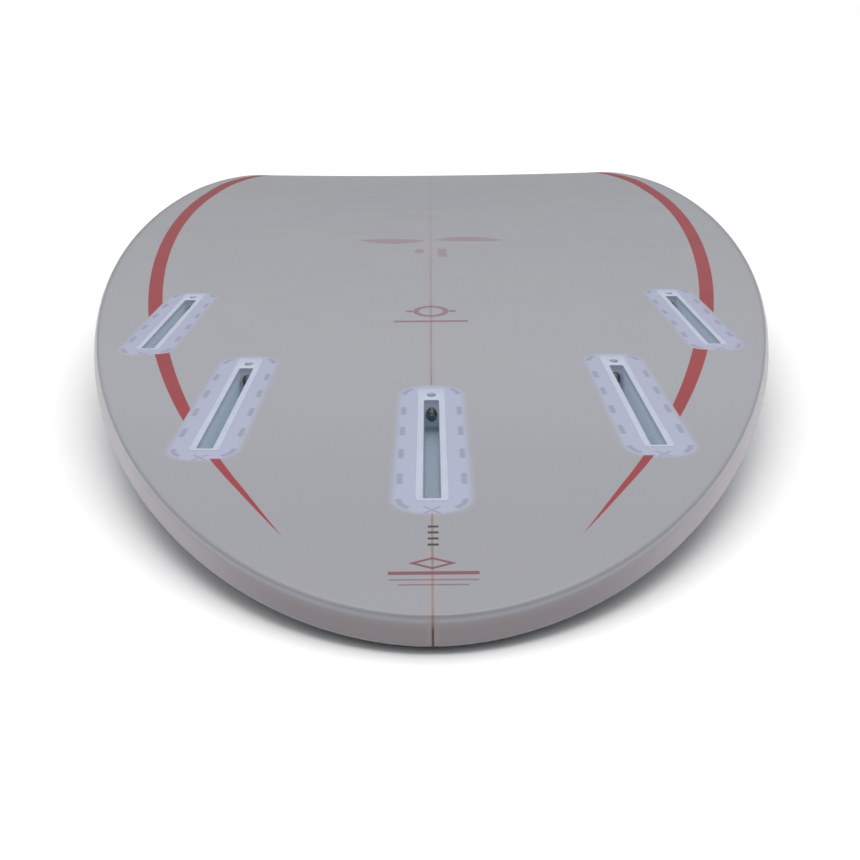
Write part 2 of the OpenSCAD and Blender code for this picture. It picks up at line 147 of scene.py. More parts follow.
def deck_z(x, s):
    depth = (1 - (abs(x) / half_w(s)) ** DECK_ACROSS) ** (1 / DECK_DROP)
    return bottom_z(s) - apex_d(s) - (thick(s) - apex_d(s)) * depth


def stations(rows):
    span = BOARD_L - 2 * TIP_S
    return [TIP_S + span * (1 - math.cos(math.pi * i / rows)) / 2 for i in range(rows + 1)]


# ---- How the board lies: its deck on both tips, as the CAD source lays it ----

CAD_ROWS = 46


def lie():
    spine = [deck_point(s, 1, 0) for s in stations(CAD_ROWS)]
    low = spine[CAD_ROWS - 2]
    tail_half = [p for p in spine if p.y < BOARD_L / 2]
    return math.atan(min((p.z - low.z) / (low.y - p.y) for p in tail_half))


TILT = lie()


def lay_matrix():
    """Board frame in millimetres to row frame in metres."""
    turned = Matrix.Rotation(TILT, 4, "X")
    points = []
    for s in stations(CAD_ROWS):
        points += [turned @ rail_point(s, k / 3, 0) for k in range(4)]
        points += [turned @ deck_point(s, k / 9, 0) for k in range(10)]
    mid = (min(p.y for p in points) + max(p.y for p in points)) / 2
    lift = Vector((0, -mid, -min(p.z for p in points)))
    return Matrix.Scale(MM, 4) @ Matrix.Translation(lift) @ turned


LAY = lay_matrix()
TO_BOARD = LAY.inverted()
CAD_LOW, CAD_HIGH = cad_box


# ---- Mesh building ----

def into_cad_box(p):
    """The point moved back, by a few hundredths of a millimetre, into the CAD model's box."""
    return Vector([min(max(c, low), high) for c, low, high in zip(p, CAD_LOW, CAD_HIGH)])


def add_mesh(name, points, faces, place):
    """A smooth mesh whose points are millimetres in the frame that place lays out."""
    mesh = bpy.data.meshes.new(name)
    mesh.from_pydata([place @ p for p in points], [], faces)
    piece = bpy.data.objects.new(name, mesh)
    bpy.context.scene.collection.objects.link(piece)
    return piece


def face_outward(mesh):
    bm = bmesh.new()
    bm.from_mesh(mesh)
    bmesh.ops.recalc_face_normals(bm, faces=bm.faces)
    bm.to_mesh(mesh)
    bm.free()


def stack(name, rings, place, closed=False):
    """A solid through rings of equally many points: capped at both ends, or closed on itself."""
    n = len(rings[0])
    points = [p for ring in rings for p in ring]
    steps = len(rings) if closed else len(rings) - 1
    faces = []
    for i in range(steps):
        a, b = i * n, ((i + 1) % len(rings)) * n
        faces += [[a + k, a + (k + 1) % n, b + (k + 1) % n, b + k] for k in range(n)]
    if not closed:
        faces.append(list(range(n))[::-1])
        faces.append([(len(rings) - 1) * n + k for k in range(n)])
    piece = add_mesh(name, points, faces, place)
    face_outward(piece.data)
    return piece


def circle_ring(radius, z, n=48):
    turn = [2 * math.pi * k / n for k in range(n)]
    return [Vector((radius * math.cos(a), radius * math.sin(a), z)) for a in turn]


def rounded_ring(width, length, radius, z, y=0.0, corner=6):
    """A ring round a rectangle with round corners, its middle at y."""
    ring = []
    for cx, cy, start in ((1, 1, 0), (-1, 1, 90), (-1, -1, 180), (1, -1, 270)):
        for k in range(corner + 1):
            a = math.radians(start + 90 * k / corner)
            px = cx * (width / 2 - radius) + radius * math.cos(a)
            py = cy * (length / 2 - radius) + radius * math.sin(a)
            ring.append(Vector((px, y + py, z)))
    return ring


def cut(piece, cutters):
    """Cuts the cutters out of the piece for good, and removes them."""
    for cutter in cutters:
        tool = piece.modifiers.new("cut", "BOOLEAN")
        tool.operation = "DIFFERENCE"
        tool.solver = "EXACT"
        tool.object = cutter
    view = bpy.context.evaluated_depsgraph_get()
    result = bpy.data.meshes.new_from_object(piece.evaluated_get(view), depsgraph=view)
    piece.modifiers.clear()
    piece.data = result
    for cutter in cutters:
        bpy.data.objects.remove(cutter)


def tidy(mesh):
    """Joins doubled points and drops faces with no area that a cut may leave."""
    bm = bmesh.new()
    bm.from_mesh(mesh)
    bmesh.ops.remove_doubles(bm, verts=bm.verts, dist=MM * 0.002)
    bmesh.ops.dissolve_degenerate(bm, edges=bm.edges, dist=MM * 0.001)
    bm.to_mesh(mesh)
    bm.free()


def shade(mesh, crease):
    """Smooth, apart from edges that turn by more than crease degrees."""
    mesh.polygons.foreach_set("use_smooth", [True] * len(mesh.polygons))
    mesh.set_sharp_from_angle(angle=math.radians(crease))


def store_local(mesh, place):
    """Stores each point's place in millimetres in the piece's own frame, for its material."""
    back = place.inverted()
    values = [c for v in mesh.vertices for c in back @ v.co]
    mesh.attributes.new("local", "FLOAT_VECTOR", "POINT").data.foreach_set("vector", values)


def finish_piece(piece, place, body, material, stands_for, crease=35.0):
    tidy(piece.data)
    shade(piece.data, crease)
    store_local(piece.data, place)
    piece.data.materials.clear()
    piece.data.materials.append(material)
    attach(piece, body)
    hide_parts(*stands_for)
    return piece


# ---- Materials ----

def linear(red, green, blue):
    """A colour given as screen values from 0 to 255."""
    parts = []
    for c in (red, green, blue):
        c /= 255
        parts.append(c / 12.92 if c < 0.04045 else ((c + 0.055) / 1.055) ** 2.4)
    return (*parts, 1.0)


class Field:
    """A number that varies over a surface: the output of a shader node."""

    def __init__(self, tree, socket):
        self.tree = tree
        self.socket = socket

    def math(self, kind, *others):
        node = self.tree.nodes.new("ShaderNodeMath")
        node.operation = kind
        for socket, value in zip(node.inputs, (self, *others)):
            put(self.tree, socket, value)
        return Field(self.tree, node.outputs[0])

    def __add__(self, other):
        return self.math("ADD", other)

    def __sub__(self, other):
        return self.math("SUBTRACT", other)

    def __mul__(self, other):
        return self.math("MULTIPLY", other)

    def __truediv__(self, other):
        return self.math("DIVIDE", other)

    def __pow__(self, other):
        return self.math("POWER", other)

    def __abs__(self):
        return self.math("ABSOLUTE")

    def least(self, other):
        return self.math("MINIMUM", other)

    def most(self, other):
        return self.math("MAXIMUM", other)

    def over(self, limit, soft=0.0):
        """1 where the number is above limit and 0 below, with a smooth step soft wide."""
        if soft == 0.0:
            return self.math("GREATER_THAN", limit)
        return self.spread(limit - soft / 2, limit + soft / 2)

    def under(self, limit, soft=0.0):
        """1 where the number is below limit."""
        if soft == 0.0:
            return self.math("LESS_THAN", limit)
        return self.spread(limit + soft / 2, limit - soft / 2)

    def spread(self, low, high, to_low=0.0, to_high=1.0):
        """A smooth run from to_low where the number is low to to_high where it is high."""
        node = self.tree.nodes.new("ShaderNodeMapRange")
        node.interpolation_type = "SMOOTHSTEP"
        for key, value in zip(("From Min", "From Max", "To Min", "To Max"),
                              (low, high, to_low, to_high)):
            node.inputs[key].default_value = value
        put(self.tree, node.inputs["Value"], self)
        return Field(self.tree, node.outputs["Result"])


def put(tree, socket, value):
    if isinstance(value, Field):
        tree.links.new(value.socket, socket)
    else:
        socket.default_value = value


def length2(a, b):
    return (a * a + b * b) ** 0.5


class Paint:
    """One material and the nodes that give it its colour, gloss and relief."""

    def __init__(self, name, roughness, coat=0.0, coat_roughness=0.1, metallic=0.0, specular=0.5):
        self.material = bpy.data.materials.new(name)
        self.material.use_nodes = True
        self.tree = self.material.node_tree
        self.shader = self.tree.nodes["Principled BSDF"]
        self.shader.inputs["Roughness"].default_value = roughness
        self.shader.inputs["Coat Weight"].default_value = coat
        self.shader.inputs["Coat Roughness"].default_value = coat_roughness
        self.shader.inputs["Metallic"].default_value = metallic
        self.shader.inputs["Specular IOR Level"].default_value = specular

    def place(self, attribute=None):
        """Where a point is: from a stored attribute, or in the object's own metres."""
        if attribute is None:
            node = self.tree.nodes.new("ShaderNodeTexCoord")
            return Field(self.tree, node.outputs["Object"])
        node = self.tree.nodes.new("ShaderNodeAttribute")
        node.attribute_name = attribute
        return Field(self.tree, node.outputs["Vector"])

    def stored(self, attribute):
        node = self.tree.nodes.new("ShaderNodeAttribute")
        node.attribute_name = attribute
        return Field(self.tree, node.outputs["Fac"])

    def split(self, place):
        node = self.tree.nodes.new("ShaderNodeSeparateXYZ")
        put(self.tree, node.inputs[0], place)
        return [Field(self.tree, node.outputs[k]) for k in range(3)]

    def stretch(self, place, factors):
        """The place with each axis multiplied by a factor, for a pattern with a direction."""
        node = self.tree.nodes.new("ShaderNodeVectorMath")
        node.operation = "MULTIPLY"
        put(self.tree, node.inputs[0], place)
        node.inputs[1].default_value = factors
        return Field(self.tree, node.outputs[0])

    def noise(self, place, scale, detail=2.0, rough=0.5):
        node = self.tree.nodes.new("ShaderNodeTexNoise")
        node.inputs["Scale"].default_value = scale
        node.inputs["Detail"].default_value = detail
        node.inputs["Roughness"].default_value = rough
        put(self.tree, node.inputs["Vector"], place)
        return Field(self.tree, node.outputs["Fac"])

    def cells(self, place, scale):
        """Distance from the nearest of many scattered points."""
        node = self.tree.nodes.new("ShaderNodeTexVoronoi")
        node.inputs["Scale"].default_value = scale
        put(self.tree, node.inputs["Vector"], place)
        return Field(self.tree, node.outputs["Distance"])

    def mix(self, share, low, high):
        """The colour low where share is 0 and high where it is 1."""
        node = self.tree.nodes.new("ShaderNodeMix")
        node.data_type = "RGBA"
        put(self.tree, node.inputs[0], share)
        put(self.tree, node.inputs[6], low)
        put(self.tree, node.inputs[7], high)
        return Field(self.tree, node.outputs[2])

    def colour(self, value):
        put(self.tree, self.shader.inputs["Base Color"], value)

    def roughness(self, value):
        put(self.tree, self.shader.inputs["Roughness"], value)

    def bump(self, height, distance):
        """Relief of the given height field, distance metres high."""
        node = self.tree.nodes.new("ShaderNodeBump")
        node.inputs["Distance"].default_value = distance
        put(self.tree, node.inputs["Height"], height)
        self.tree.links.new(node.outputs["Normal"], self.shader.inputs["Normal"])
        return node


# ---- What shows in the skin: printed stripes and marks, the stringer, the fin boxes' flanges ----

STRINGER_HALF = 1.9
GLUE_HALF = 0.4
STRIPE_START = 57.0
STRIPE_IN, STRIPE_FAR_IN, STRIPE_FAR_Y = 32.5, 6.5, 1000
STRIPE_HOOK_Y, STRIPE_HOOK_RUN, STRIPE_HOOK = 106.0, 50, 4.0
STRIPE_W, STRIPE_GROW = 8.8, 110
STRIPE_WIDEN, STRIPE_WIDEN_Y = 3.0, 900
CENTER_Y, REAR_X, REAR_Y, REAR_TOE = 152.6, 94.4, 206.0, 0.5
FRONT_X, FRONT_Y, FRONT_TOE = 152.4, 359.0, 0.8
FLANGE_W, FLANGE_L, FLANGE_R, FLANGE_BACK = 31.8, 150.8, 14.0, 3.2
RIM_W, RIM_L, RIM_R = 12.7, 133.4, 2.0
WINDOW_W, WINDOW_L, WINDOW_X, WINDOW_PITCH, WINDOW_BACK = 2.3, 11.0, 12.6, 26.6, 5.2
CROSS_W, CROSS_L, CROSS_BACK = 1.1, 9.0, 7.9
ARC_IN, ARC_SPAN = 2.1, 50.0
STRIPE_GAP_W, STRIPE_GAP_L, STRIPE_GAP_R, STRIPE_GAP_BACK = 31.6, 146.6, 9.0, 2.5
BOARD_GREY = linear(155, 157, 163)
BOARD_WARM = linear(157, 158, 163)
BOARD_TAIL_PAINTED_SHADE = linear(138, 138, 145)
BOARD_FAR_PAINTED_LIGHT = linear(163, 166, 172)
STRIPE_RED = linear(150, 42, 50)
STRIPE_DEEP = linear(143, 38, 47)
WOOD_PALE = linear(156, 142, 143)
WOOD_GLUE = linear(120, 92, 90)
WOOD_DARK = linear(85, 65, 60)
FLANGE_MILK = linear(164, 169, 192)
FLANGE_EDGE = linear(157, 160, 174)
WINDOW_GREY = linear(140, 144, 164)
NYLON, NYLON_DULL = linear(181, 188, 205), linear(175, 183, 200)
SLOT_WALL_PAINTED_LIGHT, SLOT_FLOOR_PAINTED_SHADE = linear(205, 216, 228), linear(164, 178, 189)
SCUFF, BORE_SHADE = linear(120, 130, 142), linear(112, 116, 134)
LOZENGE_Y, LOZENGE_HALF_W, LOZENGE_HALF_L = 35.6, 8.2, 4.4
TICK_X, TICK_Y, TICK_PITCH, TICK_LAST = 0.3, 49.4, 4.8, 3.0
TICK_HALF_W, TICK_HALF_L = 1.9, 0.85
RING_Y, RING_HALF_W, RING_HALF_L, RING_LINE = 374.0, 9.0, 12.0, 3.4
STROKE_X, STROKE_Y, STROKE_HALF_L = 31.0, 634.0, 27.0
MARK_RED = linear(118, 46, 64)
MARK_PALE = linear(148, 124, 136)
MARK_BLACK = linear(46, 44, 50)
RAIL_WARM = linear(166, 156, 163)
RAIL_EDGE_HIGHLIGHT = linear(184, 178, 186)
RAIL_TIP_SHADE = linear(140, 131, 134)


def stripe_mask(y, inset):
    """1 on the red band that follows each rail and narrows to a point at the tail."""
    along = y.least(y * -1 + BOARD_L)
    near_tip = ((along * -1 + STRIPE_HOOK_Y) / STRIPE_HOOK_RUN).most(0.0)
    far = (along / STRIPE_FAR_Y).least(1.0) ** 3 * STRIPE_FAR_IN
    outer = far - near_tip * near_tip * STRIPE_HOOK + STRIPE_IN
    grown = ((along - STRIPE_START) / -STRIPE_GROW).math("EXPONENT") * -STRIPE_W + STRIPE_W
    width = grown + (along / STRIPE_WIDEN_Y) ** 2 * STRIPE_WIDEN
    depth = inset - outer
    return depth.over(0.0, 0.5) * (width - depth).over(0.0, 0.5)


def box_place(x, y):
    """The nearest fin box's own x and y on the bottom, the same for left and right."""
    side = abs(x)
    rear, front = side.over(REAR_X / 2), side.over((REAR_X + FRONT_X) / 2)
    near = rear - front
    u, v = side, y - CENTER_Y
    for share, bx, by, toe in ((near, REAR_X, REAR_Y, REAR_TOE),
                               (front, FRONT_X, FRONT_Y, FRONT_TOE)):
        lean = math.radians(toe)
        u = u - share * (y * -math.sin(lean) + (bx + by * math.sin(lean)))
        v = v - share * (side * math.sin(lean) + (by - CENTER_Y - bx * math.sin(lean)))
    return u, v


def rounded_gap(u, v, width, length, radius):
    """Distance outside a rectangle with round corners, negative inside."""
    a, b = abs(u) - (width / 2 - radius), abs(v) - (length / 2 - radius)
    return length2(a.most(0.0), b.most(0.0)) + a.most(b).least(0.0) - radius


def window_mask(u, v):
    """1 on the flange's windows: four at each side, an arc at each corner and a cross."""
    side = abs(u)
    row = v + WINDOW_BACK
    step = ((row / WINDOW_PITCH - 0.5).math("ROUND") + 0.5).least(1.5).most(-1.5)
    run = (abs(row - step * WINDOW_PITCH) - (WINDOW_L - WINDOW_W) / 2).most(0.0)
    slots = length2(side - WINDOW_X, run).under(WINDOW_W / 2, 0.9)
    cu = side - (FLANGE_W / 2 - FLANGE_R)
    cv = abs(v + FLANGE_BACK) - (FLANGE_L / 2 - FLANGE_R)
    arc_r = FLANGE_R - ARC_IN - WINDOW_W / 2
    arcs = abs(length2(cu, cv) - arc_r).under(WINDOW_W / 2, 0.9) * cu.over(0.0, 0.6)
    arcs = arcs * cv.over(0.0, 0.6) * (cu * math.tan(math.radians(ARC_SPAN)) - cv).over(0.0, 0.9)
    down = abs(v + (RIM_L / 2 + CROSS_BACK))
    slits = abs(side - down).under(CROSS_W * 0.7, 0.7) * (side + down).under(CROSS_L * 0.7, 0.8)
    return slots.most(arcs).most(slits)


def bar(x, y, cx, cy, half_x, half_y, soft=0.4):
    return (abs(x - cx) - half_x).most(abs(y - cy) - half_y).under(0.0, soft)


def hoop(x, y, cx, cy, across, along, width):
    """An oval ring whose line is width wide."""
    reach = length2((x - cx) / across, (y - cy) / along)
    return (abs(reach - 1.0) * min(across, along)).under(width / 2, 0.4)


def tail_marks(x, y):
    """Plain shapes where the board has its printed labels near the tail."""
    lozenge = abs((abs(x) / LOZENGE_HALF_W + abs(y - LOZENGE_Y) / LOZENGE_HALF_L) - 0.82).under(0.17, 0.06)
    lines = bar(x, y, 0.4, 28.6, 15.0, 1.2)
    lines = lines.most(bar(x, y, 0.4, 24.0, 14.6, 0.5) * 0.7)
    lines = lines.most(bar(x, y, 0.4, 20.6, 11.4, 0.5) * 0.7)
    return lozenge.most(lines)


def tick_marks(x, y):
    """Four short black bars behind the centre fin box."""
    step = ((y - TICK_Y) / TICK_PITCH).math("ROUND").least(TICK_LAST).most(0.0)
    off = abs(y - TICK_Y - step * TICK_PITCH)
    return (abs(x - TICK_X) - TICK_HALF_W).most(off - TICK_HALF_L).under(0.0, 0.3)


def middle_marks(x, y):
    """A plain ring over a bar, further up the stringer."""
    ring = hoop(x, y, 0.0, RING_Y, RING_HALF_W, RING_HALF_L, RING_LINE)
    pips = bar(abs(x), y, 13.0, RING_Y, 2.0, 2.4)
    return ring.most(pips).most(bar(x, y, 0.0, 349.0, 21.6, 2.2))


def far_marks(x, y):
    """Two soft strokes, a dot and a short bar where the board is signed."""
    wave = (x / 16.0).math("SINE") * 5.0
    run = abs(x)
    thin = (run - STROKE_X) / STROKE_HALF_L
    stroke = (abs(y - STROKE_Y - wave) - (thin * thin * -11.7 + 13.0)).under(0.0, 5.0) * run.over(5.0, 4.0)
    dot = length2(x + 8.5, (y - 580.0) / 2.5).under(3.9, 1.5)
    return stroke.most(dot).most(bar(x, y, 9.0, 572.0, 3.4, 18.0, 3.0))


def stringer_look(paint, x, y, depth, base):
    """The wood seen through the skin, with its dark glue line, clearest at the tail."""
    side = abs(x)
    fade = y.spread(40.0, 900.0, 0.4, 0.15)
    grain = paint.noise(paint.stretch(paint.place("local"), (1.0, 0.02, 0.2)), 1.6, 4.0, 0.6)
    wood = paint.mix(grain.spread(0.35, 0.7), WOOD_PALE, linear(160, 148, 149))
    shown = paint.mix(side.under(STRINGER_HALF, 0.7) * fade, base, wood)
    patchy = paint.noise(paint.stretch(paint.place("local"), (0.0, 1.0, 0.0)), 0.02, 2.0)
    strength = (patchy.spread(0.3, 0.75) * 0.5 + 0.5) * y.spread(30.0, 900.0, 0.85, 0.25)
    rail = depth.spread(1.0, 5.0) * y.under(200.0, 100.0)
    glue = paint.mix(rail, WOOD_GLUE, WOOD_DARK)
    return paint.mix(side.under(GLUE_HALF, 0.35) * strength.most(rail), shown, glue)


def skin_base(paint):
    """Grey under clear resin with faint clouds and the odd darker speck, painted darker at the tail as
    shade and paler towards the nose as painted light.
    """
    local = paint.place("local")
    clouds = paint.noise(local, 0.006, 3.0)
    base = paint.mix(clouds.spread(0.35, 0.65), BOARD_GREY, BOARD_WARM)
    _, y, _ = paint.split(local)
    # Painted shade: the colour darkens towards the tail tip.
    base = paint.mix(y.spread(260.0, 20.0) * 0.55, base, BOARD_TAIL_PAINTED_SHADE)
    # Painted light: the colour grows paler towards the nose.
    base = paint.mix(y.spread(900.0, 1900.0), base, BOARD_FAR_PAINTED_LIGHT)
    specks = paint.cells(local, 0.035).under(0.022, 0.012) * 0.4
    return paint.mix(specks, base, linear(120, 116, 118))


def rail_look(paint, y, depth, base):
    """A warmer tint down the rail near the tail, darker at the tip as painted shade, with a pale painted
    highlight along the rail's bottom edge.
    """
    near = y.under(450.0, 300.0)
    # Painted shade: the rail's colour darkens towards the tail tip.
    warm_tint_and_tip_shade = paint.mix(y.under(45.0, 60.0), RAIL_WARM, RAIL_TIP_SHADE)
    look = paint.mix(depth.spread(1.5, 5.0) * near * 0.8, base, warm_tint_and_tip_shade)
    # Painted highlight: a pale line along the rail's bottom edge near the tail.
    return paint.mix(abs(depth - 1.7).under(0.6, 0.8) * near * 0.35, look, RAIL_EDGE_HIGHLIGHT)


def skin_relief(paint):
    """The cloth's weave and a slight waviness in the resin."""
    local = paint.place("local")
    x, y, _ = paint.split(local)
    weave = (x * 6.0).math("SINE") * (y * 6.0).math("SINE")
    waves = paint.noise(local, 0.05, 2.0)
    paint.bump(weave * 0.02 + waves, 0.00003)
    paint.roughness(paint.noise(local, 0.03, 4.0).spread(0.3, 0.7, 0.32, 0.36))


def bottom_skin_paint():
    paint = Paint("bottom_gloss_skin", 0.33, coat=0.08, coat_roughness=0.12, specular=0.3)
    x, y, _ = paint.split(paint.place("local"))
    inset, depth = paint.stored("inset"), paint.stored("depth")
    u, v = box_place(x, y)
    gap = rounded_gap(u, v + FLANGE_BACK, FLANGE_W, FLANGE_L, FLANGE_R)
    look = rail_look(paint, y, depth, skin_base(paint))
    look = stringer_look(paint, x, y, depth, look)
    look = paint.mix(gap.under(0.6, 3.4) * 0.5, look, FLANGE_EDGE)
    look = paint.mix(gap.under(-1.2, 3.6), look, FLANGE_MILK)
    look = paint.mix(window_mask(u, v) * 0.9, look, WINDOW_GREY)
    red = paint.mix(paint.noise(paint.place("local"), 0.02, 3.0).spread(0.3, 0.7), STRIPE_RED, STRIPE_DEEP)
    clear = rounded_gap(u, v + STRIPE_GAP_BACK, STRIPE_GAP_W, STRIPE_GAP_L, STRIPE_GAP_R).over(0.0, 0.5)
    look = paint.mix(stripe_mask(y, inset) * clear, look, red)
    look = paint.mix(tail_marks(x, y) * 0.85, look, MARK_RED)
    look = paint.mix(tick_marks(x, y) * 0.95, look, MARK_BLACK)
    look = paint.mix(middle_marks(x, y) * 0.6, look, MARK_RED)
    look = paint.mix(far_marks(x, y) * 0.8, look, MARK_PALE)
    paint.colour(look)
    skin_relief(paint)
    return paint.material


def deck_skin_paint():
    paint = Paint("deck_gloss_skin", 0.33, coat=0.08, coat_roughness=0.12, specular=0.3)
    x, y, _ = paint.split(paint.place("local"))
    paint.colour(stringer_look(paint, x, y, paint.stored("depth"), skin_base(paint)))
    skin_relief(paint)
    return paint.material


def box_paint():
    """White moulded nylon: faint mottling, slot walls painted paler as painted light, the slot floor and
    the bore painted darker as painted shade, and scuffs inside.
    """
    paint = Paint("fin_box_nylon", 0.42)
    local = paint.place("local")
    x, y, z = paint.split(local)
    base = paint.mix(paint.noise(local, 0.05, 3.0).spread(0.3, 0.7),
                     NYLON, NYLON_DULL)
    # Painted light: the slot's walls are paler than the same nylon outside.
    painted_light_walls = paint.mix(z.spread(-0.6, -4.0), base, SLOT_WALL_PAINTED_LIGHT)
    # Painted shade: the slot's floor is darker.
    painted_shade_floor = paint.mix(z.under(-13.4, 1.6), painted_light_walls, SLOT_FLOOR_PAINTED_SHADE)
    scratch = paint.noise(paint.stretch(local, (4.0, 0.15, 1.0)), 1.2, 4.0, 0.7)
    scuffs = scratch.over(0.64, 0.05) * z.under(-0.5, 1.0) * 0.25
    look = paint.mix(scuffs, painted_shade_floor, SCUFF)
    # Painted shade round the screw's bore, inside the slot.
    bore = length2(x, (y - z - BORE_Y) * math.sqrt(0.5)).under(GRUB_R + 0.6, 0.6)
    inside = bore * z.under(-0.8, 1.2) * y.over(SLOT_FRONT + 0.1, 0.2)
    look = paint.mix(inside * 0.8, look, BORE_SHADE)
    paint.colour(look)
    paint.roughness(paint.noise(local, 0.4, 3.0).spread(0.3, 0.7, 0.36, 0.5))
    paint.bump(paint.noise(local, 3.0, 3.0, 0.6), 0.00003)
    return paint.material


def steel_paint(name, tone, stain, roughness):
    """Machined steel: fine turning lines and patches of salt stain."""
    paint = Paint(name, roughness, metallic=1.0)
    local = paint.place("local")
    stains = paint.noise(local, 0.5, 4.0, 0.6)
    paint.colour(paint.mix(stains.spread(0.45, 0.7), tone, stain))
    paint.roughness(stains.spread(0.3, 0.75, roughness - 0.08, roughness + 0.18))
    lines = paint.noise(paint.stretch(local, (0.3, 0.3, 6.0)), 3.0, 2.0)
    paint.bump(lines, 0.00002)
    return paint.material


def plug_paint():
    """Pale glass-filled plastic of the leash plug and the vent."""
    paint = Paint("plug_plastic", 0.4)
    local = paint.place("local")
    flecks = paint.noise(local, 1.4, 4.0, 0.65)
    paint.colour(paint.mix(flecks.spread(0.35, 0.7), linear(198, 200, 206), linear(186, 190, 200)))
    paint.roughness(flecks.spread(0.3, 0.7, 0.34, 0.48))
    paint.bump(flecks, 0.00003)
    return paint.material


def rubber_paint():
    paint = Paint("seal_rubber", 0.6)
    local = paint.place("local")
    bloom = paint.noise(local, 0.9, 4.0, 0.6)
    paint.colour(paint.mix(bloom.spread(0.4, 0.75), linear(34, 34, 36), linear(52, 52, 54)))
    paint.bump(bloom, 0.00002)
    return paint.material


def foam_paint():
    """Closed-cell foam: small beads with fine pits between them."""
    paint = Paint("foam_beads", 0.85)
    place = paint.place()
    beads = paint.cells(place, 420.0)
    paint.colour(paint.mix(beads.spread(0.2, 0.7), linear(236, 236, 232), linear(214, 214, 208)))
    paint.bump(beads, -0.0003)
    return paint.material


def wood_paint():
    """Pale wood ply with its grain along the board."""
    paint = Paint("stringer_ply", 0.55)
    place = paint.place()
    fibres = paint.noise(paint.stretch(place, (40.0, 1.0, 40.0)), 12.0, 6.0, 0.65)
    paint.colour(paint.mix(fibres.spread(0.35, 0.65), linear(206, 172, 128), linear(176, 138, 94)))
    paint.bump(fibres, 0.0001)
    return paint.material


def glue_paint():
    paint = Paint("glue_line", 0.5)
    blots = paint.noise(paint.place(), 60.0, 4.0, 0.6)
    paint.colour(paint.mix(blots.spread(0.35, 0.7), linear(96, 60, 44), linear(72, 44, 32)))
    paint.bump(blots, 0.00005)
    return paint.material


def resin_paint():
    """Cast resin with small bubbles."""
    paint = Paint("cast_resin", 0.25, coat=0.3, coat_roughness=0.1)
    place = paint.place()
    bubbles = paint.cells(place, 700.0)
    paint.colour(paint.mix(bubbles.under(0.12, 0.05), linear(206, 206, 202), linear(232, 232, 230)))
    paint.bump(bubbles.spread(0.05, 0.2), 0.0001)
    return paint.material


# ---- Skins ----

SKIN_ROWS = 184
BOTTOM_COLS, EDGE_COLS, RAIL_COLS, DECK_COLS = 14, 4, 8, 20
EDGE_R = 1.8


def spaced(low, high, count):
    return [low + (high - low) * k / count for k in range(count + 1)]


def bottom_half(s, inset):
    """Right half of the bottom's section, stringer to widest line, with its edge eased."""
    corner = bottom_point(s, 1, inset)
    wide = rail_point(s, 1, inset)
    ease = min(EDGE_R, 0.3 * corner.x, 0.3 * (corner - wide).length)
    last_u = 1 - ease / corner.x
    first_v = ease / (corner - wide).length
    a, b = bottom_point(s, last_u, inset), rail_point(s, first_v, inset)
    eased = [a.lerp(corner, t).lerp(corner.lerp(b, t), t) for t in spaced(0, 1, EDGE_COLS)]
    low = [bottom_point(s, u, inset) for u in spaced(0, last_u, BOTTOM_COLS)]
    high = [rail_point(s, v, inset) for v in spaced(first_v, 1, RAIL_COLS)]
    return low[1:-1] + eased + high[1:]


def mirrored(points):
    return [Vector((-p.x, p.y, p.z)) for p in reversed(points)]


def bottom_row(s, inset):
    half = bottom_half(s, inset)
    return mirrored(half) + [bottom_point(s, 0, inset)] + half


def deck_row(s, inset):
    half = [deck_point(s, w, inset) for w in spaced(0, 1, DECK_COLS)]
    return half[:-1] + [half[-1]] + mirrored(half[:-1])


def tip_faces(first, n, rungs):
    """Closes a row across a tip: rungs between mirrored points, then one face in the middle."""
    faces = []
    for k in range(rungs - 1):
        faces.append([first + k, first + k + 1, first + n - 2 - k, first + n - 1 - k])
    faces.append([first + k for k in range(rungs - 1, n - rungs + 1)])
    return faces


def shell(name, outside, inside, rungs):
    """A closed skin between an outside and an inside grid of points."""
    n, m = len(outside[0]), len(outside)
    inner, last = m * n, (m - 1) * n
    faces = []
    for base in (0, inner):
        for i in range(m - 1):
            row = base + i * n
            faces += [[row + k, row + k + n, row + k + n + 1, row + k + 1] for k in range(n - 1)]
        for first in (base, base + last):
            faces += tip_faces(first, n, rungs)
    for i in range(m - 1):
        for a in (i * n, i * n + n - 1):
            faces.append([a, a + n, inner + a + n, inner + a])
    for a in (0, last):
        faces.append([a, a + n - 1, inner + a + n - 1, inner + a])
    points = [into_cad_box(LAY @ p) for row in outside + inside for p in row]
    piece = add_mesh(name, points, faces, Matrix.Identity(4))
    face_outward(piece.data)
    return piece


def store_board_values(mesh):
    """Stores how far each point is in from the outline and down from the bottom edge."""
    inset, depth = [], []
    for v in mesh.vertices:
        p = TO_BOARD @ v.co
        inset.append(half_w(p.y) - abs(p.x))
        depth.append(bottom_z(p.y) - p.z)
    mesh.attributes.new("inset", "FLOAT", "POINT").data.foreach_set("value", inset)
    mesh.attributes.new("depth", "FLOAT", "POINT").data.foreach_set("value", depth)


def bottom_skin(paint):
    rows = stations(SKIN_ROWS)
    outside = [bottom_row(s, 0) for s in rows]
    inside = [bottom_row(s, SKIN_T) for s in rows]
    piece = shell("bottom_skin", outside, inside, RAIL_COLS + EDGE_COLS - 1)
    rims = [stack("rim_cutter", [rounded_ring(RIM_W, RIM_L, RIM_R, z) for z in (-6, 6)], place)
            for place in BOX_PLACES.values()]
    cut(piece, rims)
    store_board_values(piece.data)
    return finish_piece(piece, LAY, "board", paint, ["bottom_laminate"])


